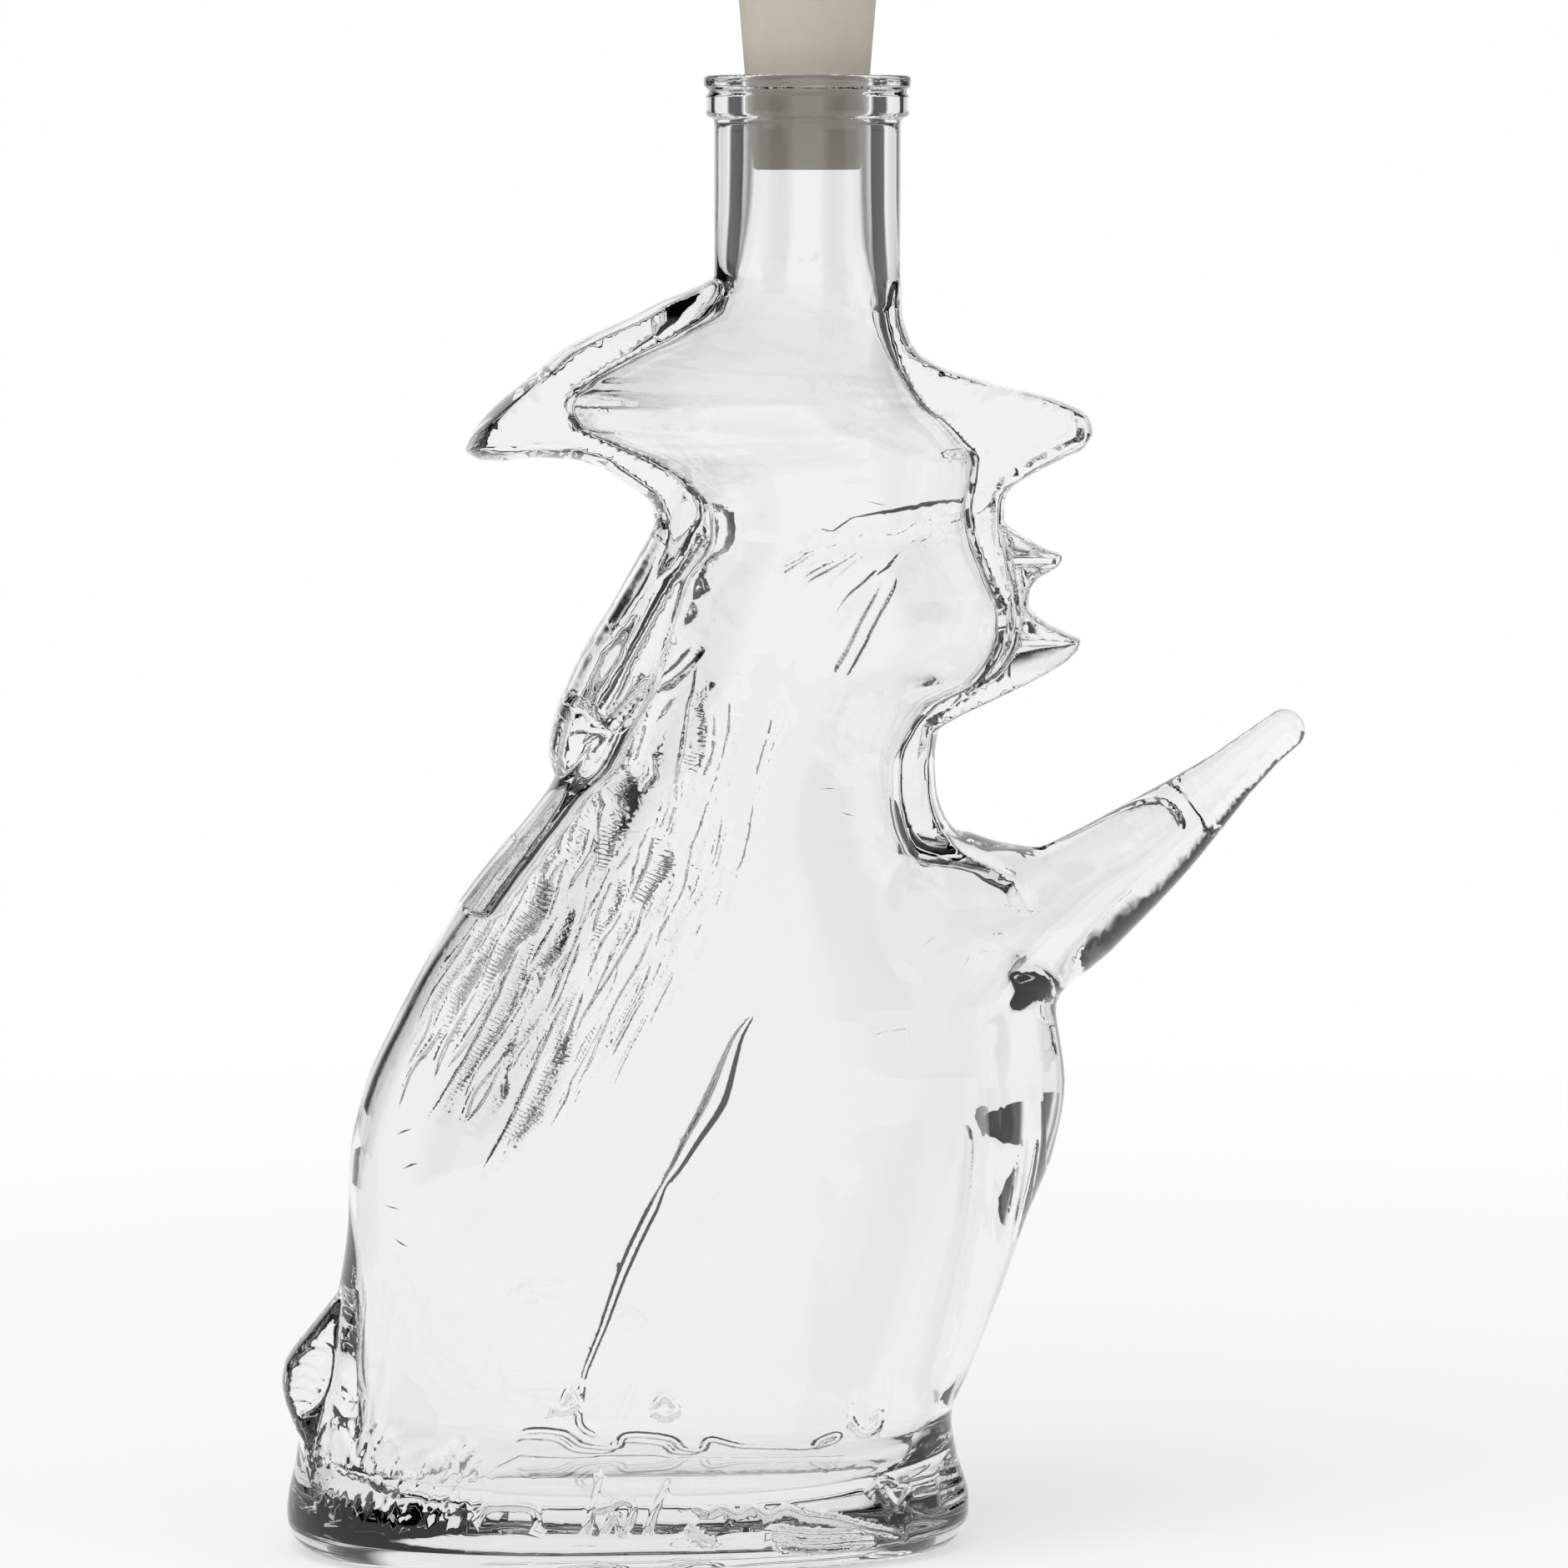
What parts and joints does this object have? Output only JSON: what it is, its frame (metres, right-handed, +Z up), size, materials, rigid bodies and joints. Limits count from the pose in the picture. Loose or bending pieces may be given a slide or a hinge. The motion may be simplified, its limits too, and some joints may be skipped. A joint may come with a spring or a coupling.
{
  "type": "figural liquor decanter",
  "caption": "Clear glass bottle moulded as a witch in a brimmed hat holding a broomstick, with a tapered stopper in its neck.",
  "frame": {"origin": "centre of the whole part's box in plan, on the surface that the foot stands on", "axes": "+Z up along the neck, +X the way the figure faces, +Y its left side; the mould parts on the XZ plane"},
  "size_m": [0.1519, 0.054, 0.2313],
  "materials": {
    "glass": "clear flint glass, fire-polished as it leaves the mould",
    "stopper": "matt, stone grey"
  },
  "bodies": {
    "bottle": {"skirt": "glass", "bust": "glass", "head": "glass", "hat": "glass", "neck": "glass"},
    "stopper": {"stopper": "stopper"}
  },
  "joints": [
    {"name": "stopper_lift", "type": "slide", "parent": "bottle", "child": "stopper", "axis": [0, 0, 1], "range_m": [0, 0.03]}
  ]
}
